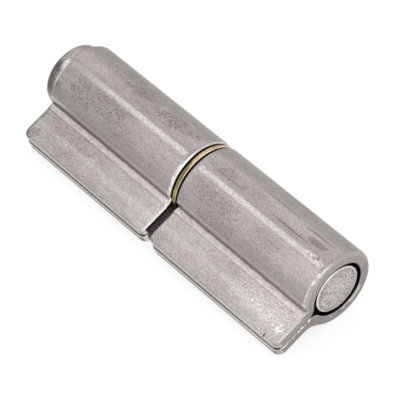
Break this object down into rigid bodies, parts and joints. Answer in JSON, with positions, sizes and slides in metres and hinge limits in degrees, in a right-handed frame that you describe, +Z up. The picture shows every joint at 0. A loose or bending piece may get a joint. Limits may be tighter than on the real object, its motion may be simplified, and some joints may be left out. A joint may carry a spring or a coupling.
{
  "type": "weld-on barrel hinge",
  "caption": "Weld-on hinge: two rolled drop-shaped barrels with folded double-ply leaves, turning on a headed pin with a brass washer between them.",
  "frame": {"origin": "on the ground, under the middle of the box round the whole hinge", "axes": "+X along the pin towards its open tail end, with the head at -X; the leaves reach towards -Y and dip to the ground by 23.0 degrees; +Z up as the loose hinge lies"},
  "size_m": [0.1024, 0.0314, 0.022],
  "materials": {
    "rolled_steel": "bare rolled steel, matt and slightly mottled",
    "pin_steel": "turned steel, satin head and matt tail face",
    "washer_brass": "satin brass"
  },
  "bodies": {
    "frame_half": {"frame_leaf": "rolled_steel"},
    "door_half": {"door_leaf": "rolled_steel"},
    "washer": {"washer": "washer_brass"},
    "pin": {"pin": "pin_steel"}
  },
  "joints": [
    {"name": "door_swing", "type": "hinge", "parent": "frame_half", "child": "door_half", "pos_m": [0, 0.00475, 0.011], "axis": [-1, 0, 0], "continuous": true},
    {"name": "washer_turn", "type": "hinge", "parent": "frame_half", "child": "washer", "pos_m": [0, 0.00475, 0.011], "axis": [-1, 0, 0], "continuous": true},
    {"name": "pin_withdraw", "type": "slide", "parent": "frame_half", "child": "pin", "axis": [-1, 0, 0], "range_m": [0, 0.0975]}
  ]
}
